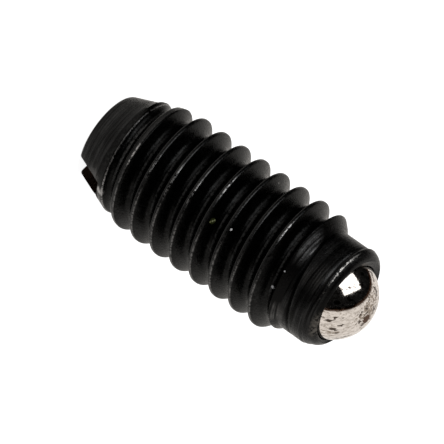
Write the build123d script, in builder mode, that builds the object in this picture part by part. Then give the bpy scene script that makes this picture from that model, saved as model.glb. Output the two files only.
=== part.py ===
"""Spring plunger with a ball nose and a screwdriver slot: a threaded sleeve, a compression spring and a ball.

The plunger stands on its slotted end with the ball up. The origin is the centre of the slotted end face,
+Z runs along the axis towards the ball, and the slot lies along X. Sizes are in millimetres.
"""

import os
from math import asin, ceil, cos, degrees, pi, radians, sin, sqrt, tan

from build123d import *

# Metric thread on the sleeve
thread_pitch = 0.70
thread_major_diameter = 3.86
thread_crest_width = 0.10
thread_root_width = 0.18
thread_flank_angle = 30.0
groove_overshoot = 0.06  # how far the groove cutter stands outside the crests

# Sleeve, from the slotted end to the nose
body_length = 8.57
slot_width = 0.84
slot_depth = 0.98
lead_face_diameter = 2.58
lead_angle = 20.5
lead_radius = 2.6
lead_edge_break = 0.09
nose_relief = 0.006  # how far the nose lies below the thread's roots
nose_length = 1.21
shoulder_angle = 43.0
lip_roll = 0.21  # how far the lip's crown lies in from the nose
lip_dish = 0.05  # how far the lip's inner edge lies below its crown
lip_radius = 0.34

# Ball and the blind bore behind it
ball_diameter = 2.50
ball_protrusion = 0.74
ball_clearance = 0.03
bore_web = 0.52  # metal left between the slot and the drill point
drill_point_angle = 118.0

# Compression spring, one closed coil at each end
wire_diameter = 0.38
spring_side_clearance = 0.13
spring_end_clearance = 0.02
closed_coil_gap = 0.03
active_coils = 5
wire_sides = 8  # the wire is drawn with flats, being out of sight
points_per_coil = 12

# Heights and radii that follow from the sizes above
major_radius = thread_major_diameter / 2
flank_lean = radians(thread_flank_angle)
groove_half_width = (thread_pitch - thread_crest_width) / 2
root_half_width = thread_root_width / 2
root_radius = major_radius - (groove_half_width - root_half_width) / tan(flank_lean)
nose_radius = root_radius - nose_relief
ball_radius = ball_diameter / 2
bore_radius = ball_radius + ball_clearance
ball_height = body_length + ball_protrusion - ball_radius
drill_tip = slot_depth + bore_web
bore_floor = drill_tip + bore_radius / tan(radians(drill_point_angle / 2))
shoulder_height = body_length - nose_length
shoulder_start = shoulder_height - (major_radius - nose_radius) / tan(radians(shoulder_angle))

os.makedirs("parts", exist_ok=True)


# ---- Sleeve: turned blank, blind bore with its rolled lip, screwdriver slot and thread ----

# The lead-in at the slotted end is a cone that runs into the thread cylinder along a tangent arc.
lead_lean = radians(lead_angle)
lead_face_radius = lead_face_diameter / 2
lead_arc_radius = major_radius - lead_radius * (1 - cos(lead_lean))
lead_arc_start = (lead_arc_radius - lead_face_radius) / tan(lead_lean)
lead_arc_end = lead_arc_start + lead_radius * sin(lead_lean)
lead_break_radius = lead_face_radius + lead_edge_break * tan(lead_lean)

# The lip is rolled in over the ball, so its inner face is a zone of a sphere about the ball's centre.
lip_face_radius = nose_radius - lip_roll
lip_height = sqrt(lip_radius**2 - (lip_radius - lip_roll) ** 2)
seat_rise = degrees(asin((body_length - lip_dish - ball_height) / bore_radius))

# The groove has straight flanks and a narrow flat root, and ends past the shoulder.
groove_top = major_radius + groove_overshoot
groove_top_width = groove_half_width + groove_overshoot * tan(flank_lean)
groove_turns = ceil((shoulder_height + root_half_width) / thread_pitch)

# One turn of the groove, starting at the height of the slotted face on the +X side and cut at every pitch.
with BuildPart() as groove_turn:
    with BuildLine() as groove_path:
        Helix(pitch=thread_pitch, height=thread_pitch, radius=root_radius)
    with BuildSketch(Plane.XZ):
        with BuildLine():
            Polyline(
                (root_radius, -root_half_width),
                (groove_top, -groove_top_width),
                (groove_top, groove_top_width),
                (root_radius, root_half_width),
                close=True,
            )
        make_face()
    sweep(path=groove_path.wire(), is_frenet=True)

with BuildPart() as body:
    with BuildSketch(Plane.XZ):
        with BuildLine():
            Polyline(
                (0, drill_tip),
                (0, 0),
                (lead_face_radius - lead_edge_break, 0),
                (lead_break_radius, lead_edge_break),
                (lead_arc_radius, lead_arc_start),
            )
            RadiusArc((lead_arc_radius, lead_arc_start), (major_radius, lead_arc_end), -lead_radius)
            Polyline(
                (major_radius, lead_arc_end),
                (major_radius, shoulder_start),
                (nose_radius, shoulder_height),
                (nose_radius, body_length - lip_height),
            )
            RadiusArc(
                (nose_radius, body_length - lip_height), (lip_face_radius, body_length), -lip_radius
            )
            seat = CenterArc((0, ball_height), bore_radius, 0, seat_rise)
            Line((lip_face_radius, body_length), seat @ 1)
            Polyline((bore_radius, ball_height), (bore_radius, bore_floor), (0, drill_tip))
        make_face()
    revolve(axis=Axis.Z)

    with BuildSketch(Plane.XY):
        Rectangle(thread_major_diameter, slot_width)
    extrude(amount=slot_depth, mode=Mode.SUBTRACT)

    with Locations(*[(0, 0, turn * thread_pitch) for turn in range(groove_turns)]):
        add(groove_turn.part, mode=Mode.SUBTRACT)

body.part.label = "body"
export_step(body.part, "parts/body.step")


# ---- Ball ----

with BuildPart() as ball:
    with Locations((0, 0, ball_height)):
        Sphere(ball_radius)

ball.part.label = "ball"
export_step(ball.part, "parts/ball.step")


# ---- Compression spring: stands on the bore floor and holds the ball up against the lip ----

coil_radius = bore_radius - spring_side_clearance - wire_diameter / 2
closed_pitch = wire_diameter + closed_coil_gap
ball_reach = ball_radius + wire_diameter / 2 + spring_end_clearance
spring_bottom = bore_floor + wire_diameter / 2 + spring_end_clearance
spring_top = ball_height - sqrt(ball_reach**2 - coil_radius**2)
active_pitch = (spring_top - spring_bottom - 2 * closed_pitch) / active_coils


def coil_rise(turn):
    """Height of the wire's centre above the spring's bottom coil after a number of turns.

    Args:
        turn: Turns from the bottom end of the wire.

    Returns:
        The height in millimetres.
    """
    opened = min(max(turn - 1, 0), active_coils)
    return closed_pitch * (turn - opened) + active_pitch * opened


coil_points = []
for step in range((active_coils + 2) * points_per_coil + 1):
    turn = step / points_per_coil
    angle = 2 * pi * turn
    coil_points.append(
        (coil_radius * cos(angle), coil_radius * sin(angle), spring_bottom + coil_rise(turn))
    )

with BuildPart() as spring:
    with BuildLine() as wire_path:
        Spline(*coil_points)
    with BuildSketch(Plane(origin=wire_path.line @ 0, z_dir=wire_path.line % 0)):
        RegularPolygon(wire_diameter / 2, wire_sides)
    sweep(path=wire_path.wire(), is_frenet=True)

spring.part.label = "spring"
export_step(spring.part, "parts/spring.step")
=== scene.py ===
"""Looks, studio light and camera for a ball-nose spring plunger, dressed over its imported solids.

Everything stands in the part's own frame: the slotted end rests on z = 0 and +Z runs along the axis to the
ball. Sizes are in millimetres and angles in degrees, and finished meshes are in metres. An azimuth is turned
from +X towards +Y.
"""

import logging
import math
from dataclasses import dataclass
from enum import Enum
from typing import Optional, Sequence, Union

import bmesh
import bpy
import numpy as np
from mathutils import Matrix, Vector


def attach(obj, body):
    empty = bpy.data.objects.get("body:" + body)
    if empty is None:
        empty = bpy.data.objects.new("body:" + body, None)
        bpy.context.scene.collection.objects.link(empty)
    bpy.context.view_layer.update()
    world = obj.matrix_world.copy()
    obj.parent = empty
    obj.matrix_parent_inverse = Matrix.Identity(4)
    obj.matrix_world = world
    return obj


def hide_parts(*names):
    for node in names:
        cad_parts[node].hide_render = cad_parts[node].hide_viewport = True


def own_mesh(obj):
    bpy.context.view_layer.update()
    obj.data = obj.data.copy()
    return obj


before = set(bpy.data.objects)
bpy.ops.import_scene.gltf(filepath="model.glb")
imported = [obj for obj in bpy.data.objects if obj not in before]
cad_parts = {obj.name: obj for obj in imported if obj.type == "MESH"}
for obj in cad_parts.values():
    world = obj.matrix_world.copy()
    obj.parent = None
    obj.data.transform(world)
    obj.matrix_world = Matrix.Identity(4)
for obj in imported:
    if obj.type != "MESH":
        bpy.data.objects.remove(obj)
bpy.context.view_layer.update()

MM = 0.001
TURN = 2 * math.pi
THIN = 1e-6  # millimetres of metal too thin to be cut
TINY = 1e-9  # keeps a divisor from being nought
LOG = logging.getLogger("spring_plunger")

Colour = tuple[float, float, float]
Point = tuple[float, float, float]
Span = tuple[float, float]
Numbers = Union[float, np.ndarray]
Socket = bpy.types.NodeSocket
Value = Union[Socket, float, tuple[float, ...]]


class Body(Enum):
    """The moving bodies that pieces ride on."""

    SLEEVE = "sleeve"
    BALL = "ball"


class Slot(Enum):
    """The finish slots of the part."""

    SLEEVE = "sleeve"
    BALL = "ball"
    SPRING = "spring"


class Operation(Enum):
    """The sums that finishes are worked out with."""

    ADD = "ADD"
    SUBTRACT = "SUBTRACT"
    MULTIPLY = "MULTIPLY"
    MAXIMUM = "MAXIMUM"
    ARCTAN2 = "ARCTAN2"
    ABSOLUTE = "ABSOLUTE"
    FLOOR = "FLOOR"
    DISTANCE = "DISTANCE"
    DOT_PRODUCT = "DOT_PRODUCT"


# ---- Shared forms ----


def smooth(value: Numbers, span: Span) -> np.ndarray:
    """Rises smoothly from 0 to 1.

    Args:
        value: The number or numbers to map.
        span: Where the rise starts and where it ends.

    Returns:
        Numbers from 0 to 1.
    """
    share = np.clip((np.asarray(value, float) - span[0]) / (span[1] - span[0]), 0, 1)
    return share * share * (3 - 2 * share)


def on_sleeve(azimuth: float, radius: float, height: float) -> Point:
    """Turns a place round the axis into a point.

    Args:
        azimuth: Degrees round the axis.
        radius: Distance from the axis.
        height: Height above the slotted face.

    Returns:
        The point.
    """
    angle = math.radians(azimuth)
    return radius * math.cos(angle), radius * math.sin(angle), height


@dataclass(frozen=True)
class Spot:
    """A round spot of wear, dust, paint or rust on a surface."""

    place: Point
    radius: float
    colour: Colour = (0.0, 0.0, 0.0)


@dataclass(frozen=True)
class Noise:
    """How a soft noise looks: its scale, how many finer layers it has and how strong they are."""

    scale: float
    detail: float = 3.0
    roughness: float = 0.55


@dataclass(frozen=True)
class Ridge:
    """A low rounded ridge round the sleeve, or a shallow groove where the rise is negative."""

    height: float
    rise: float
    width: float

    def at(self, height: Numbers) -> Numbers:
        """Gives how far the ridge stands out at a height."""
        return self.rise * np.exp(-(((height - self.height) / self.width) ** 2))


@dataclass(frozen=True)
class ThreadForm:
    """The rolled metric thread: straight flanks, a round root and crests with broken corners."""

    pitch: float = 0.70
    major_radius: float = 1.93
    root_radius: float = 1.565
    crest_width: float = 0.10
    flank_angle: float = 30.0
    corner_blend: float = 0.05

    @property
    def half_width(self) -> float:
        """Half the groove's width at the crests."""
        return (self.pitch - self.crest_width) / 2

    @property
    def apex_radius(self) -> float:
        """Where the two flanks would meet."""
        return self.major_radius - self.half_width / math.tan(math.radians(self.flank_angle))

    @property
    def root_rounding(self) -> float:
        """The radius of the round root."""
        lean = math.sin(math.radians(self.flank_angle))
        return (self.root_radius - self.apex_radius) * lean / (1 - lean)

    def groove_radius(self, offset: np.ndarray) -> np.ndarray:
        """Gives the groove's radius at a height from its middle.

        Args:
            offset: Heights above the groove's middle.

        Returns:
            The radii, which pass the crests outside the groove.
        """
        aside = np.abs(offset)
        lean = math.radians(self.flank_angle)
        rounding = self.root_rounding
        flank = self.apex_radius + aside / math.tan(lean)
        inside = np.sqrt(np.maximum(rounding**2 - aside**2, 0))
        return np.where(aside < rounding * math.cos(lean), self.root_radius + rounding - inside, flank)


@dataclass(frozen=True)
class TurnedOutline:
    """The sleeve's outside before the thread: lead cone, thread cylinder, shoulder and nose."""

    major_radius: float = ThreadForm.major_radius
    face_radius: float = 1.29
    lead_angle: float = 20.5
    lead_arc: float = 2.6
    nose_radius: float = 1.56
    shoulder_height: float = 7.36
    shoulder_angle: float = 43.0

    @property
    def lead_slope(self) -> float:
        """How much wider the lead cone grows for each millimetre of height."""
        return math.tan(math.radians(self.lead_angle))

    def radius(self, height: np.ndarray) -> np.ndarray:
        """Gives the outline's radius.

        Args:
            height: Heights above the slotted face, up to the nose.

        Returns:
            The radii.
        """
        lean = math.radians(self.lead_angle)
        arc_radius = self.major_radius - self.lead_arc * (1 - math.cos(lean))
        arc_start = (arc_radius - self.face_radius) / self.lead_slope
        arc_end = arc_start + self.lead_arc * math.sin(lean)
        cone = self.face_radius + height * self.lead_slope
        below = np.clip(arc_end - height, 0, self.lead_arc)
        arc = self.major_radius - self.lead_arc + np.sqrt(self.lead_arc**2 - below**2)
        drop = (self.major_radius - self.nose_radius) / math.tan(math.radians(self.shoulder_angle))
        above = np.clip((height - self.shoulder_height + drop) / drop, 0, 1)
        lower = np.where(height < arc_start, cone, np.where(height < arc_end, arc, self.major_radius))
        return lower - above * (self.major_radius - self.nose_radius)


@dataclass(frozen=True)
class DriverSlot:
    """The screwdriver slot across the flat end, along X."""

    width: float = 0.84
    depth: float = 0.98


@dataclass(frozen=True)
class BallBore:
    """The ball at rest, its seat under the lip, and the blind bore behind it."""

    ball_radius: float = 1.25
    ball_height: float = 8.06
    clearance: float = 0.03
    floor: float = 2.27
    drill_point: float = 118.0

    @property
    def radius(self) -> float:
        """The radius of the bore and of the round seat."""
        return self.ball_radius + self.clearance

    @property
    def drill_cone(self) -> float:
        """How deep the drill's point went below the bore's floor."""
        return self.radius / math.tan(math.radians(self.drill_point / 2))

    def seat_at(self, height: Numbers) -> Numbers:
        """Gives the radius of the ball's seat at a height."""
        return np.sqrt(self.radius**2 - (height - self.ball_height) ** 2)


@dataclass(frozen=True)
class RunOutTrace:
    """The shallow line, climbing round the nose, that the end of the threading left."""

    height: float = 7.70
    climb: float = 1.12
    azimuth: float = -60.0
    fade: Span = (-0.2, 0.5)
    groove: Ridge = Ridge(0.0, -0.035, 0.040)

    def depth(self, height: float, angle: np.ndarray) -> np.ndarray:
        """Gives how far the line sinks the nose.

        Args:
            height: Height above the slotted face.
            angle: Azimuths in radians, from minus to plus half a turn.

        Returns:
            How far the surface lies outside the plain nose, which is nought or less.
        """
        middle = self.height + self.climb * angle / TURN
        shown = smooth(np.cos(angle - math.radians(self.azimuth)), self.fade)
        return shown * self.groove.at(height - middle)


# ---- Node sheets ----


class NodeSheet:
    """A node tree written as plain calls, each of which returns the socket that carries its result."""

    def __init__(self, tree: bpy.types.NodeTree) -> None:
        """Takes a tree and empties it.

        Args:
            tree: The node tree to write.
        """
        self.tree = tree
        self.tree.nodes.clear()

    def node(self, kind: str) -> bpy.types.Node:
        """Adds a node of a kind, given by its type name."""
        return self.tree.nodes.new(kind)

    def feed(self, socket: Socket, value: Value) -> None:
        """Links a socket, or sets it if the value is plain.

        Args:
            socket: The input that takes the value.
            value: Another socket, a number, or a tuple of numbers.
        """
        if isinstance(value, bpy.types.NodeSocket):
            self.tree.links.new(value, socket)
        elif isinstance(value, tuple) and socket.type == "RGBA" and len(value) == 3:
            socket.default_value = (*value, 1.0)
        else:
            socket.default_value = value

    def sum(self, operation: Operation, first: Value, second: Value = 0.0) -> Socket:
        """Works out a sum of two numbers.

        Args:
            operation: What is done with them.
            first: The first number or socket.
            second: The second number or socket, if the operation has one.

        Returns:
            The result's socket.
        """
        node = self.node("ShaderNodeMath")
        node.operation = operation.value
        self.feed(node.inputs[0], first)
        self.feed(node.inputs[1], second)
        return node.outputs[0]

    def plus(self, first: Value, second: Value) -> Socket:
        """Adds two numbers."""
        return self.sum(Operation.ADD, first, second)

    def minus(self, first: Value, second: Value) -> Socket:
        """Takes the second number from the first."""
        return self.sum(Operation.SUBTRACT, first, second)

    def larger(self, first: Value, second: Value) -> Socket:
        """Returns the larger of two numbers."""
        return self.sum(Operation.MAXIMUM, first, second)

    def apart(self, first: Value, second: Value) -> Socket:
        """Returns how far apart two numbers are."""
        return self.sum(Operation.ABSOLUTE, self.minus(first, second))

    def times(self, first: Value, *others: Value) -> Socket:
        """Multiplies numbers.

        Args:
            first: The first number or socket.
            others: The numbers or sockets that it is multiplied by.

        Returns:
            The product's socket.
        """
        product = first
        for other in others:
            product = self.sum(Operation.MULTIPLY, product, other)
        return product

    def step(self, value: Value, span: Span, to: Span = (0.0, 1.0)) -> Socket:
        """Maps a number smoothly from one range to another.

        Args:
            value: The number or socket that is mapped.
            span: Where the change starts and where it ends.
            to: The results at the span's two ends and beyond them.

        Returns:
            The result's socket.
        """
        node = self.node("ShaderNodeMapRange")
        node.interpolation_type = "SMOOTHSTEP"
        self.feed(node.inputs["Value"], value)
        node.inputs["From Min"].default_value, node.inputs["From Max"].default_value = span
        node.inputs["To Min"].default_value, node.inputs["To Max"].default_value = to
        return node.outputs["Result"]

    def vector(self, operation: Operation, first: Value, second: Value) -> bpy.types.Node:
        """Works out a sum of two vectors.

        Args:
            operation: What is done with them.
            first: The first vector or socket.
            second: The second vector or socket.

        Returns:
            The node, which has a vector and a number as results.
        """
        node = self.node("ShaderNodeVectorMath")
        node.operation = operation.value
        self.feed(node.inputs[0], first)
        self.feed(node.inputs[1], second)
        return node

    def stretch(self, vector: Socket, factors: Point) -> Socket:
        """Scales a vector along each axis."""
        return self.vector(Operation.MULTIPLY, vector, factors).outputs["Vector"]

    def distance(self, vector: Socket, point: Point) -> Socket:
        """Measures how far a point is from a fixed one."""
        return self.vector(Operation.DISTANCE, vector, point).outputs["Value"]

    def along(self, vector: Socket, direction: Sequence[float]) -> Socket:
        """Measures a vector along a direction."""
        return self.vector(Operation.DOT_PRODUCT, vector, tuple(direction)).outputs["Value"]

    def place(self) -> Socket:
        """Returns the surface point in the part's frame, in millimetres."""
        return self.stretch(self.node("ShaderNodeTexCoord").outputs["Object"], (1 / MM, 1 / MM, 1 / MM))

    def parts(self, vector: Socket) -> tuple[Socket, Socket, Socket]:
        """Splits a vector.

        Args:
            vector: The vector's socket.

        Returns:
            The sockets of its X, Y and Z.
        """
        node = self.node("ShaderNodeSeparateXYZ")
        self.feed(node.inputs[0], vector)
        return node.outputs[0], node.outputs[1], node.outputs[2]

    def joined(self, *numbers: Value) -> Socket:
        """Makes a vector from three numbers.

        Args:
            numbers: The number or socket along X, Y and Z.

        Returns:
            The vector's socket.
        """
        node = self.node("ShaderNodeCombineXYZ")
        for socket, number in zip(node.inputs, numbers):
            self.feed(socket, number)
        return node.outputs[0]

    def noise(self, vector: Socket, noise: Noise) -> Socket:
        """Adds soft noise.

        Args:
            vector: Where the noise is read.
            noise: How it looks.

        Returns:
            The socket of a number about 0.5.
        """
        node = self.node("ShaderNodeTexNoise")
        self.feed(node.inputs["Vector"], vector)
        node.inputs["Scale"].default_value = noise.scale
        node.inputs["Detail"].default_value = noise.detail
        node.inputs["Roughness"].default_value = noise.roughness
        return node.outputs["Fac"]

    def within(self, place: Socket, spot: Spot, core: float) -> Socket:
        """Marks a round spot.

        Args:
            place: The surface point's socket.
            spot: The spot.
            core: The share of its radius within which the mark is full.

        Returns:
            The socket of a number that is 1 in the spot's core and 0 outside the spot.
        """
        return self.step(self.distance(place, spot.place), (spot.radius, spot.radius * core))

    def mix(self, factor: Value, first: Value, second: Value) -> Socket:
        """Blends two colours.

        Args:
            factor: How much of the second colour shows.
            first: The first colour or socket.
            second: The second colour or socket.

        Returns:
            The blended colour's socket.
        """
        node = self.node("ShaderNodeMix")
        node.data_type = "RGBA"
        # A colour mix takes its colours at inputs 6 and 7 and gives the blend at output 2
        self.feed(node.inputs[0], factor)
        self.feed(node.inputs[6], first)
        self.feed(node.inputs[7], second)
        return node.outputs[2]

    def bump(self, height: Socket, depth: float, normal: Optional[Socket] = None) -> Socket:
        """Turns a height into a bent normal.

        Args:
            height: The height's socket, in units of depth.
            depth: How deep a height of 1 is.
            normal: A normal that is bent further, if there is one.

        Returns:
            The normal's socket.
        """
        node = self.node("ShaderNodeBump")
        node.inputs["Distance"].default_value = depth * MM
        self.feed(node.inputs["Height"], height)
        if normal is not None:
            self.feed(node.inputs["Normal"], normal)
        return node.outputs[0]

    def finish_surface(self, values: dict[str, Value]) -> None:
        """Adds the surface shader and the output.

        Args:
            values: The shader's input names with their numbers, colours or sockets.
        """
        shader = self.node("ShaderNodeBsdfPrincipled")
        for name, value in values.items():
            self.feed(shader.inputs[name], value)
        self.feed(self.node("ShaderNodeOutputMaterial").inputs["Surface"], shader.outputs[0])


def new_sheet(name: str) -> tuple[bpy.types.Material, NodeSheet]:
    """Makes an empty material.

    Args:
        name: The material's name.

    Returns:
        The material and the sheet that writes it.
    """
    material = bpy.data.materials.new(name)
    material.use_nodes = True
    return material, NodeSheet(material.node_tree)


# ---- Finishes ----


@dataclass(frozen=True)
class SleevePoint:
    """The sockets that the sleeve's finish reads at a surface point."""

    place: Socket
    y: Socket
    z: Socket
    azimuth: Socket
    radius: Socket
    height: Socket  # above the middle of the nearest groove
    aside: Socket  # how far that is, above or below
    grain: Socket
    blotch: Socket
    lines: Socket
    turned: Socket
    threaded: Socket


@dataclass(frozen=True)
class BlackOxide:
    """Black oxide on turned and rolled steel: near black in the thread, rubbed grey on crests and edges,
    with painted highlights on the crests, roots, shoulder, nose and lip, and painted shade in the run-out
    line.
    """

    thread: ThreadForm = ThreadForm()
    outline: TurnedOutline = TurnedOutline()
    slot: DriverSlot = DriverSlot()
    trace: RunOutTrace = RunOutTrace()

    # Mottling and tool lines
    grain_noise: Noise = Noise(11.0, 5.0, 0.65)
    blotch_noise: Noise = Noise(1.6, 4.0, 0.6)
    line_noise: Noise = Noise(1.0, 4.0, 0.7)
    line_stretch: Point = (0.4, 0.4, 15.0)
    line_depth: float = 0.012
    skin_noise: Noise = Noise(22.0, 4.0, 0.6)
    skin_depth: float = 0.007
    edge_tint: Colour = (0.74, 0.745, 0.745)
    roughness_grain: Span = (0.3, 0.7)
    roughness: Span = (0.24, 0.36)

    # The thread: near black flanks, and a painted highlight line along the root on the side that faces the
    # camera
    dark: Colour = (0.006, 0.006, 0.006)
    dull: Colour = (0.019, 0.0195, 0.0195)
    dull_blotch: Span = (0.3, 0.7)
    dull_speckle: Span = (0.4, 0.65)
    root_highlight: Colour = (0.066, 0.068, 0.069)
    root_highlight_offset: float = 0.03
    root_highlight_width: Span = (0.065, 0.025)
    # The side facing the camera, where the root highlight and the run-out shade are painted
    camera_side_way: Point = (0.454, -0.891, 0.0)
    root_highlight_side: Span = (1.05, 1.45)
    root_highlight_grain: Span = (0.3, 0.6)

    # Where the thread ends in the turned lead, shoulder and nose, and how those are streaked, with painted
    # highlights on the shoulder and nose and a run-out line darkened by oxide and painted shade
    lead_end: Span = (0.95, 0.83)
    nose_start: Span = (7.0, 7.1)
    shoulder_end: Span = (7.42, 7.34)
    turned_light: Colour = (0.028, 0.0285, 0.029)
    streak_lines: Span = (0.38, 0.62)
    streak_blotch: Span = (0.35, 0.60)
    streak_share: Span = (0.45, 1.0)
    # Painted highlights: lighter patches on the shoulder and nose, round the side towards the camera
    shoulder_highlight: Spot = Spot(on_sleeve(-87.0, 1.80, 7.13), 0.80, (0.118, 0.119, 0.12))
    turned_highlights: tuple[Spot, ...] = (
        Spot(on_sleeve(-8.0, 1.70, 7.20), 0.50, (0.075, 0.075, 0.075)),
        Spot(on_sleeve(-66.0, 1.56, 7.95), 0.55, (0.072, 0.072, 0.072)),
        Spot(on_sleeve(-112.0, 1.56, 7.90), 0.60, (0.060, 0.060, 0.060)),
    )
    rub_and_highlight_core: float = 0.4
    # Oxide and painted shade in the run-out line
    trace_oxide_and_shade: Colour = (0.002, 0.002, 0.002)
    trace_width: Span = (0.065, 0.030)
    trace_side: Span = (0.3, 0.9)

    # The worn edge along which the first groove leaves the lead cone
    edge_worn: Colour = (0.245, 0.245, 0.245)
    edge_width: Span = (0.06, 0.02)
    edge_bottom: Span = (0.74, 0.84)
    edge_top: Span = (1.45, 1.25)
    edge_grain: Span = (0.35, 0.55)

    # Crests, rubbed bright along their side towards the nose: partly wear and partly painted glints,
    # strongest on one side and at listed spots that face the camera
    crest_dull: Colour = (0.030, 0.0305, 0.031)
    crest_width: Span = (0.29, 0.315)
    crest_radius: Span = (1.70, 1.78)
    rub_and_glint: Colour = (0.42, 0.42, 0.42)
    rub_and_glint_height: Span = (0.30, 0.20)
    rub_and_glint_grain: Span = (0.42, 0.56)
    rub_and_glint_way: Point = (0.966, -0.259, 0.0)
    rub_and_glint_side: Span = (1.50, 1.85)
    rub_and_glint_share: Span = (0.04, 0.24)
    crest_rubs_and_glints: tuple[Spot, ...] = (
        Spot(on_sleeve(-62.0, 1.90, 1.63), 0.55),
        Spot(on_sleeve(-63.0, 1.93, 2.33), 0.50),
        Spot(on_sleeve(-63.0, 1.93, 3.03), 0.70),
        Spot(on_sleeve(-65.0, 1.93, 3.73), 0.60),
        Spot(on_sleeve(-84.0, 1.93, 4.20), 0.60),
        Spot(on_sleeve(-83.0, 1.93, 6.45), 0.45),
    )
    crest_rub_and_glint_core: float = 0.3

    # The lip: a worn rim, and a painted highlight line that breaks up towards its ends
    rim_rub: Spot = Spot(on_sleeve(-15.0, 1.45, 8.54), 0.62, (0.085, 0.080, 0.073))
    rim_core: float = 0.35
    rim_height: Span = (8.30, 8.45)
    rim_grain: Span = (0.40, 0.58)
    lip_highlight: Spot = Spot(on_sleeve(-92.0, 1.55, 8.31), 1.30, (0.46, 0.45, 0.43))
    lip_highlight_core: float = 0.3
    lip_highlight_fade: float = 0.035
    lip_highlight_ragged: float = 0.13
    lip_highlight_width: Span = (0.088, 0.068)

    # The slot: its worn corner and its brown inside
    worn_spots: tuple[Spot, ...] = (
        Spot((1.66, -0.23, 1.10), 0.17, (0.40, 0.40, 0.40)),
        Spot((1.53, -0.42, 0.72), 0.34, (0.060, 0.060, 0.060)),
    )
    slot_margin: Span = (0.012, 0.004)
    slot_brown: Colour = (0.022, 0.013, 0.009)

    # Dust, a greenish fleck and a scratch
    flecks: tuple[Spot, ...] = (
        Spot(on_sleeve(-57.7, 1.86, 5.24), 0.045, (0.55, 0.55, 0.55)),
        Spot(on_sleeve(-54.5, 1.76, 7.13), 0.029, (0.36, 0.36, 0.37)),
        Spot(on_sleeve(-32.6, 1.60, 6.97), 0.062, (0.55, 0.55, 0.56)),
        Spot(on_sleeve(-53.9, 1.74, 4.605), 0.105, (0.016, 0.020, 0.004)),
        Spot(on_sleeve(-52.4, 1.79, 4.585), 0.034, (0.13, 0.135, 0.06)),
        Spot(on_sleeve(-53.9, 1.74, 4.605), 0.036, (0.19, 0.20, 0.11)),
        Spot(on_sleeve(-55.4, 1.695, 4.625), 0.034, (0.16, 0.17, 0.09)),
        Spot(on_sleeve(-131.0, 1.745, 5.155), 0.032, (0.16, 0.15, 0.14)),
        Spot(on_sleeve(-131.5, 1.70, 5.10), 0.028, (0.12, 0.115, 0.11)),
    )
    fleck_core: float = 0.75

    def above_root(self, sheet: NodeSheet, azimuth: Socket, z: Socket) -> Socket:
        """Measures how far a point lies above the middle of the nearest groove.

        Args:
            sheet: The finish's sheet.
            azimuth: The surface point's azimuth in radians.
            z: Its Z.

        Returns:
            The socket of the height, from minus to plus half a pitch.
        """
        climbed = sheet.minus(sheet.times(z, 1 / self.thread.pitch), sheet.times(azimuth, 1 / TURN))
        nearest = sheet.sum(Operation.FLOOR, sheet.plus(climbed, 0.5))
        return sheet.times(sheet.minus(climbed, nearest), self.thread.pitch)

    def read(self, sheet: NodeSheet) -> SleevePoint:
        """Reads what the finish needs at a surface point.

        Args:
            sheet: The finish's sheet.

        Returns:
            The sockets.
        """
        place = sheet.place()
        x, y, z = sheet.parts(place)
        azimuth = sheet.sum(Operation.ARCTAN2, y, x)
        height = self.above_root(sheet, azimuth, z)
        turned = sheet.larger(sheet.step(z, self.lead_end), sheet.step(z, self.nose_start))
        return SleevePoint(
            place=place,
            y=y,
            z=z,
            azimuth=azimuth,
            radius=sheet.distance(sheet.joined(x, y, 0.0), (0.0, 0.0, 0.0)),
            height=height,
            aside=sheet.apart(height, 0.0),
            grain=sheet.noise(place, self.grain_noise),
            blotch=sheet.noise(place, self.blotch_noise),
            lines=sheet.noise(sheet.stretch(place, self.line_stretch), self.line_noise),
            turned=turned,
            threaded=sheet.minus(1.0, turned),
        )

    def thread_colour(self, sheet: NodeSheet, at: SleevePoint) -> Socket:
        """Colours the thread's flanks and roots, and paints a highlight line along the roots on the side
        facing the camera.

        Args:
            sheet: The finish's sheet.
            at: The surface point.

        Returns:
            The colour's socket.
        """
        blotch = sheet.step(at.blotch, self.dull_blotch)
        speckle = sheet.times(blotch, sheet.step(at.grain, self.dull_speckle))
        # Painted highlight: a light line along each root, only on the side facing the camera
        root_highlight_mask = sheet.times(
            at.threaded,
            sheet.step(sheet.apart(at.height, self.root_highlight_offset), self.root_highlight_width),
            sheet.step(sheet.along(at.place, self.camera_side_way), self.root_highlight_side),
            sheet.step(at.grain, self.root_highlight_grain),
        )
        return sheet.mix(root_highlight_mask, sheet.mix(speckle, self.dark, self.dull), self.root_highlight)

    def turned_colour(self, sheet: NodeSheet, at: SleevePoint) -> Socket:
        """Colours the turned lead, shoulder and nose: streaks round the axis, painted highlights, and the
        run-out line darkened by oxide and painted shade.

        Args:
            sheet: The finish's sheet.
            at: The surface point.

        Returns:
            The colour's socket.
        """
        # Painted highlights on the shoulder and nose, over the turned streaks
        highlight_spot = self.shoulder_highlight
        shoulder = sheet.mix(sheet.within(at.place, highlight_spot, self.rub_and_highlight_core), self.dark, highlight_spot.colour)
        on_shoulder = sheet.times(sheet.step(at.z, self.shoulder_end), sheet.step(at.z, self.nose_start))
        streak_and_highlight = sheet.mix(on_shoulder, self.turned_light, shoulder)
        for highlight_spot in self.turned_highlights:
            streak_and_highlight = sheet.mix(sheet.within(at.place, highlight_spot, self.rub_and_highlight_core), streak_and_highlight, highlight_spot.colour)
        blotchy = sheet.step(at.blotch, self.streak_blotch, self.streak_share)
        streaks = sheet.mix(sheet.times(sheet.step(at.lines, self.streak_lines), blotchy), self.dark, streak_and_highlight)
        # The run-out line, darkened by oxide and painted shade on the side facing the camera
        level = sheet.minus(at.z, sheet.times(at.azimuth, self.trace.climb / TURN))
        traced = sheet.times(
            sheet.step(sheet.apart(level, self.trace.height), self.trace_width),
            sheet.step(sheet.along(at.place, self.camera_side_way), self.trace_side),
        )
        return sheet.mix(traced, streaks, self.trace_oxide_and_shade)

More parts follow.
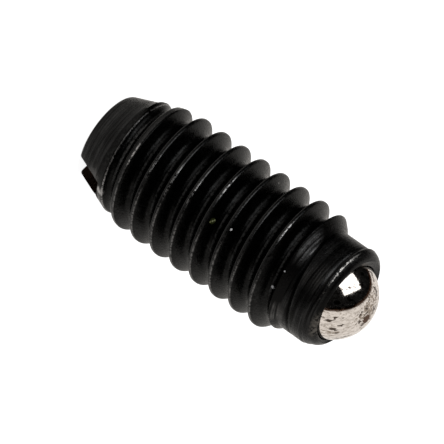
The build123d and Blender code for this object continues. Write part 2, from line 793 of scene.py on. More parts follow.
    def edge_wear(self, sheet: NodeSheet, at: SleevePoint) -> Socket:
        """Marks the edge along which the first groove leaves the lead cone.

        Args:
            sheet: The finish's sheet.
            at: The surface point.

        Returns:
            The socket of a number that is 1 where the edge is worn.
        """
        steepness = 1 / math.tan(math.radians(self.thread.flank_angle))
        flank = sheet.plus(sheet.times(at.aside, steepness), self.thread.apex_radius)
        cone = sheet.plus(sheet.times(at.z, self.outline.lead_slope), self.outline.face_radius)
        return sheet.times(
            sheet.step(sheet.apart(flank, cone), self.edge_width),
            sheet.step(at.z, self.edge_top),
            sheet.step(at.z, self.edge_bottom),
            sheet.step(at.grain, self.edge_grain),
        )

    def with_crests(self, sheet: NodeSheet, at: SleevePoint, colour: Socket) -> Socket:
        """Dulls the crests and rubs their side towards the nose, as wear and as painted glints.

        Args:
            sheet: The finish's sheet.
            at: The surface point.
            colour: The colour so far.

        Returns:
            The new colour's socket.
        """
        crest = sheet.times(
            at.threaded,
            sheet.step(at.aside, self.crest_width),
            sheet.step(at.radius, self.crest_radius),
        )
        # Partly wear and partly painted glints: brighter on one side of the crests and at listed spots
        # facing the camera
        share = sheet.step(sheet.along(at.place, self.rub_and_glint_way), self.rub_and_glint_side, self.rub_and_glint_share)
        for highlight_spot in self.crest_rubs_and_glints:
            share = sheet.larger(share, sheet.within(at.place, highlight_spot, self.crest_rub_and_glint_core))
        nose_side = sheet.step(at.height, self.rub_and_glint_height)
        wear = sheet.times(crest, nose_side, share, sheet.step(at.grain, self.rub_and_glint_grain))
        return sheet.mix(wear, sheet.mix(crest, colour, self.crest_dull), self.rub_and_glint)

    def with_lip(self, sheet: NodeSheet, at: SleevePoint, colour: Socket) -> Socket:
        """Wears the lip's rim and paints a highlight line round it.

        Args:
            sheet: The finish's sheet.
            at: The surface point.
            colour: The colour so far.

        Returns:
            The new colour's socket.
        """
        rim, lip = self.rim_rub, self.lip_highlight
        rim_worn = sheet.times(
            sheet.within(at.place, rim, self.rim_core),
            sheet.step(at.z, self.rim_height),
            sheet.step(at.grain, self.rim_grain),
        )
        # Painted highlight: a bright ragged line round the lip that fades towards its ends
        ends = (lip.radius * self.lip_highlight_core, lip.radius)
        away = sheet.step(sheet.distance(at.place, lip.place), ends, (0.0, self.lip_highlight_fade))
        ragged = sheet.plus(sheet.apart(at.z, lip.place[2]), sheet.times(at.grain, self.lip_highlight_ragged))
        line = sheet.step(sheet.plus(ragged, away), self.lip_highlight_width)
        return sheet.mix(line, sheet.mix(rim_worn, colour, rim.colour), lip.colour)

    def with_slot(self, sheet: NodeSheet, at: SleevePoint, colour: Socket) -> Socket:
        """Wears the slot's corner and browns its inside.

        Args:
            sheet: The finish's sheet.
            at: The surface point.
            colour: The colour so far.

        Returns:
            The new colour's socket.
        """
        grain = sheet.step(at.grain, self.edge_grain)
        for spot in self.worn_spots:
            worn = sheet.times(sheet.within(at.place, spot, self.rub_and_highlight_core), grain)
            colour = sheet.mix(worn, colour, spot.colour)
        sides = tuple(self.slot.width / 2 + margin for margin in self.slot_margin)
        floor = tuple(self.slot.depth + margin for margin in self.slot_margin)
        inside = sheet.times(sheet.step(sheet.apart(at.y, 0.0), sides), sheet.step(at.z, floor))
        return sheet.mix(inside, colour, self.slot_brown)

    def material(self) -> bpy.types.Material:
        """Writes the finish.

        Returns:
            The material.
        """
        material, sheet = new_sheet("black_oxide")
        at = self.read(sheet)
        colour = sheet.mix(at.turned, self.thread_colour(sheet, at), self.turned_colour(sheet, at))
        colour = sheet.mix(self.edge_wear(sheet, at), colour, self.edge_worn)
        colour = self.with_crests(sheet, at, colour)
        colour = self.with_lip(sheet, at, colour)
        colour = self.with_slot(sheet, at, colour)
        dusty: Value = 0.0
        for fleck in self.flecks:
            inside = sheet.within(at.place, fleck, self.fleck_core)
            colour = sheet.mix(inside, colour, fleck.colour)
            dusty = sheet.larger(dusty, inside)
        lined = sheet.bump(sheet.times(at.lines, at.turned), self.line_depth)
        sheet.finish_surface(
            {
                "Base Color": colour,
                "Metallic": sheet.minus(1.0, dusty),
                "Roughness": sheet.step(at.grain, self.roughness_grain, self.roughness),
                "Specular Tint": self.edge_tint,
                "Normal": sheet.bump(sheet.noise(at.place, self.skin_noise), self.skin_depth, lined),
            }
        )
        return material


@dataclass(frozen=True)
class PolishedSteel:
    """Polished hardened steel of the ball, with fine grain, dark specks and a spot of rust."""

    bright: Colour = (0.74, 0.70, 0.66)
    streak_way: Point = (-0.641, -0.013, 0.768)
    streak_scale: Span = (4.5, 11.0)  # along the streaks and across them
    grainy: Colour = (0.50, 0.465, 0.43)
    grain_noise: Noise = Noise(1.2, 4.0, 0.7)
    grain_span: Span = (0.42, 0.62)
    speck: Colour = (0.07, 0.055, 0.045)
    speck_noise: Noise = Noise(0.62, 2.5, 0.6)
    speck_span: Span = (0.570, 0.61)
    stain: Colour = (0.26, 0.22, 0.18)
    stain_noise: Noise = Noise(1.5, 3.0, 0.7)
    stain_span: Span = (0.58, 0.64)
    stained: tuple[Spot, ...] = (
        Spot((-0.30, -0.42, 9.20), 0.60),
        Spot((0.13, -0.25, 9.28), 0.45),
        Spot((1.03, -0.05, 8.77), 0.40),
    )
    stained_core: float = 0.3
    stained_more: float = 0.10
    rust: Spot = Spot((0.13, -0.125, 9.297), 0.15, (0.085, 0.036, 0.013))
    rust_noise: Noise = Noise(12.0)
    rust_ragged: float = 0.25
    rust_margin: Span = (0.135, 0.105)
    rust_roughness: float = 0.7
    polish_noise: Noise = Noise(14.0, 4.0, 0.6)
    polish_grain: Span = (0.3, 0.7)
    roughness: Span = (0.06, 0.13)

    def material(self) -> bpy.types.Material:
        """Writes the finish.

        Returns:
            The material.
        """
        material, sheet = new_sheet("polished_steel")
        place = sheet.place()
        way = Vector(self.streak_way)
        level = Vector((-way.y, way.x, 0.0)).normalized()
        lengthwise, across = self.streak_scale
        streaked = sheet.joined(
            sheet.times(sheet.along(place, way), lengthwise),
            sheet.times(sheet.along(place, level), across),
            sheet.times(sheet.along(place, way.cross(level)), across),
        )
        grain = sheet.step(sheet.noise(streaked, self.grain_noise), self.grain_span)
        colour = sheet.mix(grain, self.bright, self.grainy)
        stain = sheet.noise(streaked, self.stain_noise)
        for spot in self.stained:
            near = sheet.times(sheet.within(place, spot, self.stained_core), self.stained_more)
            stain = sheet.plus(stain, near)
        colour = sheet.mix(sheet.step(stain, self.stain_span), colour, self.stain)
        specks = sheet.step(sheet.noise(streaked, self.speck_noise), self.speck_span)
        colour = sheet.mix(specks, colour, self.speck)
        ragged = sheet.times(sheet.noise(place, self.rust_noise), self.rust_ragged)
        rust_edge = tuple(self.rust.radius + margin for margin in self.rust_margin)
        rusty = sheet.step(sheet.plus(sheet.distance(place, self.rust.place), ragged), rust_edge)
        polish = sheet.step(sheet.noise(place, self.polish_noise), self.polish_grain, self.roughness)
        sheet.finish_surface(
            {
                "Base Color": sheet.mix(rusty, colour, self.rust.colour),
                "Metallic": sheet.minus(1.0, rusty),
                "Roughness": sheet.larger(polish, sheet.times(rusty, self.rust_roughness)),
            }
        )
        return material


@dataclass(frozen=True)
class SpringWire:
    """Drawn spring wire, lightly oiled."""

    steel: Colour = (0.42, 0.41, 0.40)
    oiled: Colour = (0.20, 0.19, 0.17)
    oil_noise: Noise = Noise(3.0)
    oil_span: Span = (0.4, 0.7)
    grain_noise: Noise = Noise(12.0)
    grain_span: Span = (0.3, 0.7)
    roughness: Span = (0.25, 0.4)

    def material(self) -> bpy.types.Material:
        """Writes the finish.

        Returns:
            The material.
        """
        material, sheet = new_sheet("spring_wire")
        place = sheet.place()
        oil = sheet.step(sheet.noise(place, self.oil_noise), self.oil_span)
        roughness = sheet.step(sheet.noise(place, self.grain_noise), self.grain_span, self.roughness)
        colour = sheet.mix(oil, self.steel, self.oiled)
        sheet.finish_surface({"Base Color": colour, "Metallic": 1.0, "Roughness": roughness})
        return material


# ---- Meshes ----


def mesh_object(name: str, mesh: bpy.types.Mesh, material: bpy.types.Material) -> bpy.types.Object:
    """Puts a mesh in the scene.

    Args:
        name: The object's name.
        mesh: The mesh, in metres.
        material: Its finish.

    Returns:
        The new object.
    """
    mesh.materials.clear()
    mesh.materials.append(material)
    piece = bpy.data.objects.new(name, mesh)
    bpy.context.scene.collection.objects.link(piece)
    return piece


def mesh_from(
    name: str, points: np.ndarray, faces: Sequence[Sequence[int]], merge: float = 0.0
) -> bpy.types.Mesh:
    """Makes a smooth mesh.

    Args:
        name: The mesh's name.
        points: One row of X, Y and Z for each point, in millimetres.
        faces: The points of each face, by number.
        merge: Points nearer than this are joined.

    Returns:
        The mesh, in millimetres.
    """
    mesh = bpy.data.meshes.new(name)
    mesh.from_pydata(points.tolist(), [], faces)
    if merge:
        work = bmesh.new()
        work.from_mesh(mesh)
        bmesh.ops.remove_doubles(work, verts=work.verts, dist=merge)
        bmesh.ops.dissolve_degenerate(work, edges=work.edges, dist=merge)
        bmesh.ops.recalc_face_normals(work, faces=work.faces)
        work.to_mesh(mesh)
        work.free()
    mesh.validate()
    mesh.shade_smooth()
    return mesh


def ring_faces(
    rows: int, columns: int, band: tuple[int, int] = (0, 0), climb: int = 0
) -> list[tuple[int, ...]]:
    """Lists the faces between closed rows of points.

    Args:
        rows: How many rows there are.
        columns: How many points a row has.
        band: The first and last of the rows that climb as they go round, if there are any.
        climb: How many rows they climb in a turn.

    Returns:
        The faces, by point number.
    """
    first, last = band
    faces = []
    for row in range(rows - 1):
        for column in range(columns):
            after, low, high = (column + 1) % columns, row, row + 1
            if after == 0 and first <= row < last:
                low, high = min(low + climb, last), min(high + climb, last)
            corners = ((row, column), (low, after), (high, after), (row + 1, column))
            faces.append(tuple(line * columns + place for line, place in corners))
    return faces


def fan_faces(columns: int, last: int, start_tip: int, end_tip: int) -> list[tuple[int, int, int]]:
    """Lists the faces that close the first and the last row, each at a tip.

    Args:
        columns: How many points a row has.
        last: The number of the last row's first point.
        start_tip: The point that closes the first row.
        end_tip: The point that closes the last row.

    Returns:
        The faces, by point number.
    """
    faces = []
    for column in range(columns):
        after = (column + 1) % columns
        faces += [(start_tip, after, column), (last + column, last + after, end_tip)]
    return faces


# ---- Sleeve ----


@dataclass(frozen=True)
class RolledLip:
    """The nose's lip, rolled in over the ball, a little askew and lower on one side."""

    face_radius: float = 1.35
    roll_radius: float = 0.34
    dish: float = 0.05
    rising: Span = (8.12, 8.32)  # heights over which the lean starts
    outer: Span = (1.22, 1.38)  # radii over which it starts
    lean: float = 0.06
    lean_azimuth: float = -153.0
    shrink: float = 0.03
    dip: float = 0.09
    dip_azimuth: float = -63.0
    dip_side: Span = (-0.1, 1.0)
    dip_rising: Span = (8.22, 8.50)
    tool_groove: Ridge = Ridge(8.17, -0.03, 0.035)
    swell: Ridge = Ridge(8.26, 0.018, 0.06)

    def leaning(self, radius: float, height: float) -> float:
        """Gives how much of the lean applies to a ring, from 0 to 1."""
        return float(smooth(height, self.rising) * smooth(radius, self.outer))

    def dip_at(self, height: float, angle: np.ndarray) -> np.ndarray:
        """Gives how much lower the lip lies at a height and azimuths in radians."""
        side = smooth(np.cos(angle - math.radians(self.dip_azimuth)), self.dip_side)
        return self.dip * side * smooth(height, self.dip_rising)


@dataclass(frozen=True)
class Sleeve:
    """The threaded sleeve: turned, rolled, slotted and bored blind, its lip rolled in over the ball."""

    thread: ThreadForm = ThreadForm()
    outline: TurnedOutline = TurnedOutline()
    slot: DriverSlot = DriverSlot()
    bore: BallBore = BallBore()
    lip: RolledLip = RolledLip()
    trace: RunOutTrace = RunOutTrace()
    finish: BlackOxide = BlackOxide()
    length: float = 8.57
    edge_break: float = 0.09

    # The small ridge pushed up beside the first groove
    burr: Ridge = Ridge(0.89, 0.045, 0.06)
    burr_azimuth: float = -153.0
    burr_side: Span = (0.35, 0.95)

    # How finely the mesh is divided
    columns: int = 144
    band_bottom: float = 0.60
    groove_rows: tuple[float, ...] = (
        0.03, 0.06, 0.09, 0.12, 0.15, 0.20, 0.25, 0.272, 0.285, 0.296, 0.306, 0.316, 0.328,
    )
    crossing_samples: int = 241
    face_rings: tuple[float, ...] = (0.3, 0.7, 1.0)
    edge_steps: int = 6
    lead_rings: int = 10
    nose_rings: int = 45
    roll_steps: int = 12
    dish_shares: tuple[float, ...] = (0.06, 0.14, 0.3, 0.5, 0.7, 0.86, 0.94)
    seat_steps: int = 8
    bore_rings: int = 8
    drill_shares: tuple[float, ...] = (0.4, 0.75)
    merge: float = 2e-4
    shoulder_blend: float = 0.08
    sharp_angle: float = 32.0
    cutter_reach: float = 3.0

    @property
    def angles(self) -> np.ndarray:
        """Each column's azimuth in radians."""
        return TURN * (np.arange(self.columns) / self.columns)

    @property
    def rim_radius(self) -> float:
        """The radius of the lip's opening."""
        return float(self.bore.seat_at(self.length - self.lip.dish))

    def groove_span(self, middle: np.ndarray) -> tuple[np.ndarray, np.ndarray]:
        """Finds where the groove cuts the turned outline.

        Args:
            middle: Heights of groove middles.

        Returns:
            The heights of the groove's lower and upper edges, equal where it doesn't cut.
        """
        offsets = np.linspace(-self.thread.half_width, self.thread.half_width, self.crossing_samples)
        heights = middle[..., None] + offsets
        spare = self.outline.radius(heights) - self.thread.groove_radius(offsets)
        cuts = spare > THIN
        deepest = np.take_along_axis(heights, spare.argmax(-1)[..., None], -1)[..., 0]
        lower = self.crossing(heights, spare, cuts.argmax(-1), -1)
        upper = self.crossing(heights, spare, len(offsets) - 1 - cuts[..., ::-1].argmax(-1), 1)
        none = ~cuts.any(-1)
        return np.where(none, deepest, lower), np.where(none, deepest, upper)

    def crossing(self, heights: np.ndarray, spare: np.ndarray, index: np.ndarray, way: int) -> np.ndarray:
        """Finds the height, near a sample, at which the spare metal is nil.

        Args:
            heights: Sampled heights.
            spare: Metal outside the groove at each sample.
            index: The outermost sample that the groove cuts.
            way: 1 if the crossing lies above the sample, and -1 if below.

        Returns:
            The crossing heights.
        """
        beyond = np.clip(index + way, 0, heights.shape[-1] - 1)
        here = np.take_along_axis(spare, index[..., None], -1)[..., 0]
        there = np.take_along_axis(spare, beyond[..., None], -1)[..., 0]
        share = np.where(beyond == index, 0.0, here / np.maximum(here - there, TINY))
        base = np.take_along_axis(heights, index[..., None], -1)[..., 0]
        step = 2 * self.thread.half_width / (self.crossing_samples - 1)
        return base + way * step * np.clip(share, 0, 1)

    def band(self) -> tuple[np.ndarray, np.ndarray, int]:
        """Works out the threaded band, as rows that climb one groove for each turn.

        Returns:
            Heights and radii, one row for each row of the band, and how many rows a groove has.
        """
        pitch, top = self.thread.pitch, self.outline.shoulder_height
        half, crest = self.thread.half_width, self.thread.crest_width
        below = [-row for row in reversed(self.groove_rows)]
        offsets = [-pitch / 2, *below, 0.0, *self.groove_rows]
        grooves = math.ceil((top + pitch / 2) / pitch) + 1
        turn = np.arange(self.columns) / self.columns
        middles = pitch * (np.arange(-1, grooves + 1)[:, None] + turn[None, :])
        lower, upper = self.groove_span(middles)
        lower = np.clip(lower, self.band_bottom, top)
        upper = np.clip(upper, self.band_bottom, top)
        heights = []
        for groove in range(1, grooves + 1):
            for offset in offsets:
                if abs(offset) <= half:
                    share = (offset + half) / (2 * half)
                    heights.append(lower[groove] + share * (upper[groove] - lower[groove]))
                elif offset > 0:
                    share = (offset - half) / crest
                    heights.append(upper[groove] + share * (lower[groove + 1] - upper[groove]))
                else:
                    share = 1 + (offset + half) / crest
                    heights.append(upper[groove - 1] + share * (lower[groove] - upper[groove - 1]))
        height = np.array(heights)
        return height, self.threaded_radius(height, turn[None, :]), len(offsets)

    def threaded_radius(self, height: np.ndarray, turn: np.ndarray) -> np.ndarray:
        """Gives the radius of the threaded outside, with broken corners and the burr.

        Args:
            height: Heights above the slotted face.
            turn: Turns from +X.

        Returns:
            The radii.
        """
        pitch = self.thread.pitch
        offset = (height - pitch * turn + pitch / 2) % pitch - pitch / 2
        groove = self.thread.groove_radius(offset)
        burr_side = smooth(np.cos(TURN * turn - math.radians(self.burr_azimuth)), self.burr_side)
        outline = self.outline.radius(height) + burr_side * self.burr.at(height)
        below_shoulder = smooth(self.outline.shoulder_height - height, (0.0, self.shoulder_blend))
        blend = self.thread.corner_blend * below_shoulder + TINY
        near = np.maximum(blend - np.abs(outline - groove), 0) / blend
        return np.minimum(outline, groove) - near**2 * blend / 4

    def lead_outline(self) -> list[Span]:
        """Lists the rings from the slotted face's middle, round its broken edge and up to the thread.

        Returns:
            Radius and height of each ring.
        """
        face, slope, rim = self.outline.face_radius, self.outline.lead_slope, self.edge_break
        start, corner, end = (face - rim, 0.0), (face, 0.0), (face + rim * slope, rim)
        rings = [(radius, 0.0) for radius in self.face_rings]
        for share in np.arange(self.edge_steps + 1) / self.edge_steps:
            weights = ((1 - share) ** 2, 2 * share * (1 - share), share**2)
            rings.append(tuple(float(np.dot(weights, values)) for values in zip(start, corner, end)))
        for height in np.linspace(rim, self.band_bottom, self.lead_rings + 2)[1:-1]:
            rings.append((face + height * slope, height))
        return rings

    def nose_outline(self) -> list[Span]:
        """Lists the rings from the thread up the nose, over the lip and down the bore to the drill's point.

        Returns:
            Radius and height of each ring.
        """
        nose, top, lip, bore = self.outline.nose_radius, self.length, self.lip, self.bore
        roll = nose - lip.face_radius
        roll_height = math.sqrt(lip.roll_radius**2 - (lip.roll_radius - roll) ** 2)
        levels = np.linspace(self.outline.shoulder_height, top - roll_height, self.nose_rings + 1)[1:]
        rings = [(nose, height) for height in levels]
        swing = math.asin(roll_height / lip.roll_radius)
        for angle in swing * np.arange(1, self.roll_steps + 1) / self.roll_steps:
            radius = nose - lip.roll_radius * (1 - math.cos(angle))
            rings.append((radius, top - roll_height + lip.roll_radius * math.sin(angle)))
        for share in self.dish_shares:
            radius = lip.face_radius + share * (self.rim_radius - lip.face_radius)
            rings.append((radius, top - share * lip.dish))
        rise = math.asin((top - lip.dish - bore.ball_height) / bore.radius)
        for angle in rise * (1 - np.arange(self.seat_steps + 1) / self.seat_steps):
            rings.append((bore.radius * math.cos(angle), bore.ball_height + bore.radius * math.sin(angle)))
        for height in np.linspace(bore.ball_height, bore.floor, self.bore_rings + 1)[1:]:
            rings.append((bore.radius, height))
        for share in self.drill_shares:
            rings.append((bore.radius * (1 - share), bore.floor - bore.drill_cone * share))
        return rings

    def ring(self, radius: Numbers, height: Numbers, aside: Sequence[float] = (0.0, 0.0)) -> np.ndarray:
        """Gives the points of a ring.

        Args:
            radius: Its radius, or one for each column.
            height: Its height, or one for each column.
            aside: How far its middle lies from the axis, along X and Y.

        Returns:
            One row of X, Y and Z for each column.
        """
        radii, heights = (np.broadcast_to(value, self.columns) for value in (radius, height))
        spokes = np.stack([np.cos(self.angles), np.sin(self.angles)], -1)
        return np.column_stack([spokes * radii[:, None] + aside, heights])

    def nose_ring(self, radius: float, height: float) -> np.ndarray:
        """Gives the points of a ring above the thread, with the nose's marks and the lip's lean and dip.

        Args:
            radius: Its radius on the plain form.
            height: Its height on the plain form.

        Returns:
            One row of X, Y and Z for each column.
        """
        lip = self.lip
        angle = np.where(self.angles > math.pi, self.angles - TURN, self.angles)
        leaning = lip.leaning(radius, height)
        lowered = height - lip.dip_at(height, angle)
        real = np.full(self.columns, radius - leaning * lip.shrink)
        if height > self.outline.shoulder_height and radius >= lip.face_radius:
            real += self.trace.depth(height, angle) + lip.tool_groove.at(height) + lip.swell.at(height)
        elif height > self.bore.ball_height:
            # The seat stays round about the ball where the lip dips
            share = min((lip.face_radius - radius) / (lip.face_radius - self.rim_radius), 1.0)
            real += share * (self.bore.seat_at(lowered) - self.bore.seat_at(height))
        way = math.radians(lip.lean_azimuth)
        return self.ring(real, lowered, np.array([math.cos(way), math.sin(way)]) * leaning * lip.lean)

    def blank_mesh(self) -> bpy.types.Mesh:
        """Builds the sleeve without its slot.

        Returns:
            The mesh, in millimetres.
        """
        band_height, band_radius, per_groove = self.band()
        rings = [self.ring(radius, height) for radius, height in self.lead_outline()]
        band = (len(rings), len(rings) + len(band_height) - 1)
        rings += [self.ring(radius, height) for radius, height in zip(band_radius, band_height)]
        rings += [self.nose_ring(radius, height) for radius, height in self.nose_outline()]
        tips = [[0, 0, 0], [0, 0, self.bore.floor - self.bore.drill_cone]]
        points = np.concatenate([*rings, tips])
        faces = ring_faces(len(rings), self.columns, band, per_groove)
        last = (len(rings) - 1) * self.columns
        faces += fan_faces(self.columns, last, len(points) - 2, len(points) - 1)
        return mesh_from("sleeve_blank", points, faces, merge=self.merge)

    def slotted(self, blank: bpy.types.Mesh) -> bpy.types.Mesh:
        """Cuts the screwdriver slot.

        Args:
            blank: The sleeve without its slot, in millimetres.

        Returns:
            The slotted mesh, in metres.
        """
        reach, half = self.cutter_reach, self.slot.width / 2
        corners = [
            (x, y, z) for x in (-reach, reach) for y in (-half, half) for z in (-reach, self.slot.depth)
        ]
        sides = [(0, 1, 3, 2), (4, 6, 7, 5), (0, 4, 5, 1), (2, 3, 7, 6), (0, 2, 6, 4), (1, 5, 7, 3)]
        cutter_mesh = bpy.data.meshes.new("slot_cutter")
        cutter_mesh.from_pydata(corners, [], sides)
        work = bpy.data.objects.new("sleeve_work", blank)
        cutter = bpy.data.objects.new("slot_cutter", cutter_mesh)
        for helper in (work, cutter):
            bpy.context.scene.collection.objects.link(helper)
        cut = work.modifiers.new("slot", "BOOLEAN")
        cut.operation = "DIFFERENCE"
        cut.solver = "EXACT"
        cut.object = cutter
        graph = bpy.context.evaluated_depsgraph_get()
        mesh = bpy.data.meshes.new_from_object(work.evaluated_get(graph))
        for helper in (work, cutter):
            bpy.data.objects.remove(helper)
        mesh.transform(Matrix.Scale(MM, 4))
        mesh.shade_smooth()
        mesh.set_sharp_from_angle(angle=math.radians(self.sharp_angle))
        return mesh

    def build(self) -> bpy.types.Object:
        """Builds and dresses the sleeve.

        Returns:
            The sleeve, riding on its body.
        """
        mesh = self.slotted(self.blank_mesh())
        mesh.name = "threaded_sleeve"
        piece = mesh_object("threaded_sleeve", mesh, self.finish.material())
        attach(piece, Body.SLEEVE.value)
        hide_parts("body")
        return piece


# ---- Ball and spring ----


@dataclass(frozen=True)
class NoseBall:
    """The steel ball held by the lip."""

    bore: BallBore = BallBore()
    columns: int = 96
    rows: int = 48
    finish: PolishedSteel = PolishedSteel()

    def build(self) -> bpy.types.Object:
        """Builds and dresses the ball.

        Returns:
            The ball, riding on its body.
        """
        radius, middle = self.bore.ball_radius, self.bore.ball_height
        angle = TURN * np.arange(self.columns) / self.columns
        rings = []
        for row in range(1, self.rows):
            rise = math.pi * row / self.rows - math.pi / 2
            level = np.full(self.columns, middle + radius * math.sin(rise))
            reach = radius * math.cos(rise)
            rings.append(np.column_stack([reach * np.cos(angle), reach * np.sin(angle), level]))
        points = np.concatenate([*rings, [[0, 0, middle - radius], [0, 0, middle + radius]]])
        faces = ring_faces(len(rings), self.columns)
        last = (len(rings) - 1) * self.columns
        faces += fan_faces(self.columns, last, len(points) - 2, len(points) - 1)
        mesh = mesh_from("steel_ball", points, faces)
        mesh.transform(Matrix.Scale(MM, 4))
        piece = mesh_object("steel_ball", mesh, self.finish.material())
        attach(piece, Body.BALL.value)
        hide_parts("ball")
        return piece


@dataclass(frozen=True)
class CompressionSpring:
    """The coil spring behind the ball, with one closed coil at each end."""

    bore: BallBore = BallBore()
    wire: float = 0.38
    outer_diameter: float = 2.30
    bottom: float = 2.48
    top: float = 6.9424
    active_coils: int = 5
    closed_gap: float = 0.03
    steps_per_coil: int = 40
    sides: int = 16
    sharp_angle: float = 50.0
    joint: str = "ball_travel"
    travel: float = 0.74
    finish: SpringWire = SpringWire()

    def line(self) -> np.ndarray:
        """Gives the wire's middle.

        Returns:
            One row of X, Y and Z for each step along the wire.
        """
        closed = self.wire + self.closed_gap
        active = (self.top - self.bottom - 2 * closed) / self.active_coils
        turns = np.arange((self.active_coils + 2) * self.steps_per_coil + 1) / self.steps_per_coil
        opened = np.clip(turns - 1, 0, self.active_coils)
        height = self.bottom + closed * (turns - opened) + active * opened
        radius = (self.outer_diameter - self.wire) / 2
        return np.column_stack([radius * np.cos(TURN * turns), radius * np.sin(TURN * turns), height])

    def wire_mesh(self) -> bpy.types.Mesh:
        """Builds the round wire along its line, with flat ends.

        Returns:
            The mesh, in metres.
        """
        line = self.line()
        tangent = np.gradient(line, axis=0)
        tangent /= np.linalg.norm(tangent, axis=1)[:, None]
        outward = line * np.array([1.0, 1.0, 0.0])
        across = np.cross(tangent, outward)
        across /= np.linalg.norm(across, axis=1)[:, None]
        outward = np.cross(across, tangent)
        angle = TURN * np.arange(self.sides) / self.sides
        cosine, sine = np.cos(angle)[:, None], np.sin(angle)[:, None]
        rings = [
            middle + self.wire / 2 * (cosine * out + sine * side)
            for middle, out, side in zip(line, outward, across)
        ]
        points = np.concatenate(rings)
        faces = ring_faces(len(rings), self.sides)
        faces.append(tuple(range(self.sides))[::-1])
        faces.append(tuple(range(len(points) - self.sides, len(points))))
        mesh = mesh_from("compression_spring", points, faces)
        mesh.transform(Matrix.Scale(MM, 4))
        mesh.set_sharp_from_angle(angle=math.radians(self.sharp_angle))
        return mesh

    def build(self) -> bpy.types.Object:
        """Builds and dresses the spring.

        Returns:
            The spring, which has a mesh of its own.
        """
        piece = mesh_object("compression_spring", self.wire_mesh(), self.finish.material())
        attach(piece, Body.SLEEVE.value)
        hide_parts("spring")
        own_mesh(piece)
        return piece


# ---- Studio ----


@dataclass(frozen=True)
class ViewCamera:
    """The camera, with the part's axis running down to the right across the picture."""

    azimuth: float = -63.0
    elevation: float = 20.0
    axis_fall: float = 35.21
    aim_height: float = 4.216
    aim_aside: float = 0.148
    distance: float = 122.0
    field_width: float = 12.219
    sensor_width: float = 36.0
    clip_end: float = 10.0

    def level(self, turned: float = 0.0) -> Vector:
        """Returns the level direction that lies so many degrees round from the camera's."""
        angle = math.radians(self.azimuth + turned)
        return Vector((math.cos(angle), math.sin(angle), 0.0))

    def aside(self) -> Vector:
        """Returns the level direction across the view."""
        return self.level(90.0)

    def back(self) -> Vector:
        """Returns the direction from the part to the camera."""
        rise = math.radians(self.elevation)
        return self.level() * math.cos(rise) + Vector((0, 0, math.sin(rise)))

    def axis_shown(self) -> Vector:
        """Returns the direction in the picture's plane that the part's axis runs along."""
        rise = math.radians(self.elevation)
        return (Vector((0, 0, 1)) - math.sin(rise) * self.back()) / math.cos(rise)

    def from_shown(self, shares: Point) -> Vector:
        """Turns a direction given in the view's terms into the part's frame.

        Args:
            shares: Its shares along the shown axis, across the view and towards the camera.

        Returns:
            The unit direction.
        """
        along, aside, back = shares
        return (self.axis_shown() * along + self.aside() * aside + self.back() * back).normalized()

    def build(self) -> bpy.types.Object:
        """Makes the camera the scene's camera.

        Returns:
            The camera.
        """
        fall = math.radians(self.axis_fall)
        shown, aside, back = self.axis_shown(), self.aside(), self.back()
        right = math.cos(fall) * shown - math.sin(fall) * aside
        up = -math.sin(fall) * shown - math.cos(fall) * aside
        aim = Vector((0, 0, self.aim_height)) + aside * self.aim_aside
        data = bpy.data.cameras.new("view_camera")
        data.sensor_width = self.sensor_width
        data.lens = self.sensor_width * self.distance / self.field_width
        data.clip_start = MM
        data.clip_end = self.clip_end
        camera = bpy.data.objects.new("view_camera", data)
        bpy.context.scene.collection.objects.link(camera)
        matrix = Matrix((right, up, back)).transposed().to_4x4()
        matrix.translation = (aim + back * self.distance) * MM
        camera.matrix_world = matrix
        bpy.context.scene.camera = camera
        return camera


@dataclass(frozen=True)
class SoftBox:
    """A soft lamp. Its directions from the part, and along its width, are in the view's terms."""

    name: str = "key_softbox"
    direction: Point = (0.261, -0.688, 0.678)
    width_way: Point = (0.874, 0.484, -0.026)
    distance: float = 70.0
    width: float = 57.0
    height: float = 66.0
    radiance: float = 2.4
    target: Point = (0.0, 0.0, 5.0)

    def build(self, camera: ViewCamera) -> bpy.types.Object:
        """Hangs the lamp.

        Args:
            camera: The camera whose view its directions are given in.

        Returns:
            The lamp.
        """
        data = bpy.data.lights.new(self.name, "AREA")
        data.shape = "RECTANGLE"
        data.size = self.width * MM
        data.size_y = self.height * MM
        data.energy = self.radiance * math.pi * data.size * data.size_y
        lamp = bpy.data.objects.new(self.name, data)
        bpy.context.scene.collection.objects.link(lamp)
        direction = camera.from_shown(self.direction)
        up = direction.cross(camera.from_shown(self.width_way)).normalized()
        turn = Matrix((up.cross(direction), up, direction)).transposed().to_4x4()
        turn.translation = (Vector(self.target) + direction * self.distance) * MM
        lamp.matrix_world = turn
        return lamp


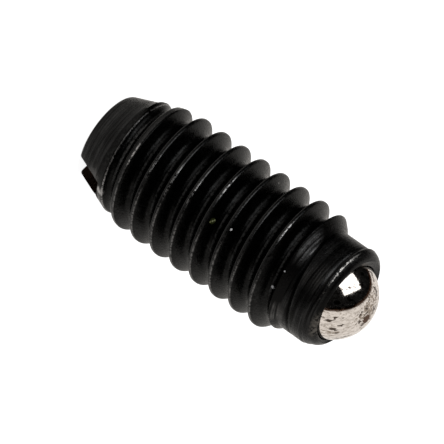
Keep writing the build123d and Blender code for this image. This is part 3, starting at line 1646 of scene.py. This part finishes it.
@dataclass(frozen=True)
class Surroundings:
    """What surrounds the part: white to the camera, and part pale and part dark to polished metal."""

    fill: Colour = (0.34, 0.34, 0.34)
    white: Colour = (1.0, 1.0, 1.0)
    dark: Colour = (0.005, 0.005, 0.005)
    pale: Colour = (0.98, 0.93, 0.88)
    pale_way: Point = (0.422, 0.662, -0.620)
    pale_span: Span = (0.06, 0.12)
    fringe: Colour = (0.060, 0.026, 0.012)
    fringe_span: Span = (-0.05, 0.05)

    # Below the level: a pale side behind the part, a glow in front of it and a pale ground
    low_rise: Span = (0.0, -0.14)
    behind_turned: float = 145.0
    behind_span: Span = (0.05, 0.45)
    front_turned: float = -8.0
    front_span: Span = (0.3, 0.9)
    front_glow: float = 0.45
    front_top: Span = (-0.16, -0.26)
    front_bottom: Span = (-0.54, -0.44)
    ground_rise: Span = (-0.55, -0.75)

    def build(self, camera: ViewCamera) -> bpy.types.World:
        """Writes the world.

        Args:
            camera: The camera whose view the directions are given in.

        Returns:
            The world.
        """
        world = bpy.data.worlds.new("studio")
        bpy.context.scene.world = world
        world.use_nodes = True
        sheet = NodeSheet(world.node_tree)
        direction = sheet.node("ShaderNodeTexCoord").outputs["Generated"]
        rise = sheet.along(direction, (0.0, 0.0, 1.0))
        toward_pale = sheet.along(direction, camera.from_shown(self.pale_way))
        toward_behind = sheet.along(direction, camera.level(self.behind_turned))
        toward_front = sheet.along(direction, camera.level(self.front_turned))
        front = sheet.times(
            sheet.step(toward_front, self.front_span, (0.0, self.front_glow)),
            sheet.step(rise, self.front_top),
            sheet.step(rise, self.front_bottom),
        )
        ground = sheet.step(rise, self.ground_rise)
        below = sheet.larger(sheet.step(toward_behind, self.behind_span), sheet.larger(front, ground))
        low = sheet.step(rise, self.low_rise)
        high = sheet.minus(1.0, low)
        above = sheet.times(high, sheet.step(toward_pale, self.pale_span))
        fringed = sheet.times(high, sheet.step(toward_pale, self.fringe_span))
        share = sheet.plus(sheet.times(low, below), above)
        shown = sheet.mix(share, sheet.mix(fringed, self.dark, self.fringe), self.pale)
        path = sheet.node("ShaderNodeLightPath")
        colour = sheet.mix(path.outputs["Is Glossy Ray"], self.fill, shown)
        direct = sheet.larger(path.outputs["Is Camera Ray"], path.outputs["Is Transmission Ray"])
        background = sheet.node("ShaderNodeBackground")
        sheet.feed(background.inputs["Color"], sheet.mix(direct, colour, self.white))
        sheet.feed(sheet.node("ShaderNodeOutputWorld").inputs["Surface"], background.outputs[0])
        return world


@dataclass(frozen=True)
class StudioFloor:
    """The white floor just under the part. It takes the part's shadow and is clear to polished metal."""

    size: float = 1600.0
    drop: float = 0.002
    paint: Colour = (0.8, 0.8, 0.8)
    glow: Colour = (1.0, 1.0, 1.0)
    glow_strength: float = 0.88

    def material(self) -> bpy.types.Material:
        """Writes the floor's finish.

        Returns:
            The material.
        """
        material, sheet = new_sheet("floor_white")
        path = sheet.node("ShaderNodeLightPath")
        diffuse = sheet.node("ShaderNodeBsdfDiffuse")
        sheet.feed(diffuse.inputs["Color"], self.paint)
        glow = sheet.node("ShaderNodeEmission")
        direct = sheet.larger(path.outputs["Is Camera Ray"], path.outputs["Is Transmission Ray"])
        sheet.feed(glow.inputs["Color"], self.glow)
        sheet.feed(glow.inputs["Strength"], sheet.times(direct, self.glow_strength))
        both = sheet.node("ShaderNodeAddShader")
        sheet.feed(both.inputs[0], diffuse.outputs[0])
        sheet.feed(both.inputs[1], glow.outputs[0])
        mixed = sheet.node("ShaderNodeMixShader")
        sheet.feed(mixed.inputs[0], path.outputs["Is Glossy Ray"])
        sheet.feed(mixed.inputs[1], both.outputs[0])
        sheet.feed(mixed.inputs[2], sheet.node("ShaderNodeBsdfTransparent").outputs[0])
        sheet.feed(sheet.node("ShaderNodeOutputMaterial").inputs["Surface"], mixed.outputs[0])
        return material

    def build(self) -> bpy.types.Object:
        """Lays the floor.

        Returns:
            The floor.
        """
        half = self.size / 2 * MM
        mesh = bpy.data.meshes.new("studio_floor")
        corners = [(-half, -half, 0), (half, -half, 0), (half, half, 0), (-half, half, 0)]
        mesh.from_pydata(corners, [], [(0, 1, 2, 3)])
        floor = mesh_object("studio_floor", mesh, self.material())
        floor.location.z = -self.drop * MM
        return floor


@dataclass(frozen=True)
class Studio:
    """The plain floor, the surroundings, the soft lamp and the camera."""

    camera: ViewCamera = ViewCamera()
    key: SoftBox = SoftBox()
    surroundings: Surroundings = Surroundings()
    floor: StudioFloor = StudioFloor()

    def build(self) -> None:
        """Sets up the studio, piece by piece."""
        bpy.context.scene.view_settings.view_transform = "Standard"
        self.surroundings.build(self.camera)
        self.floor.build()
        self.key.build(self.camera)
        LOG.info("set up the floor, the surroundings and the lamp")
        self.camera.build()
        LOG.info("placed the camera")


def main() -> None:
    """Builds the sleeve, the ball and the spring, then the studio around them."""
    logging.basicConfig(level=logging.INFO, format="%(name)s: %(message)s")
    for maker in (Sleeve(), NoseBall(), CompressionSpring()):
        piece = maker.build()
        LOG.info("built %s with %d faces", piece.name, len(piece.data.polygons))
    Studio().build()


if __name__ == "__main__":
    main()
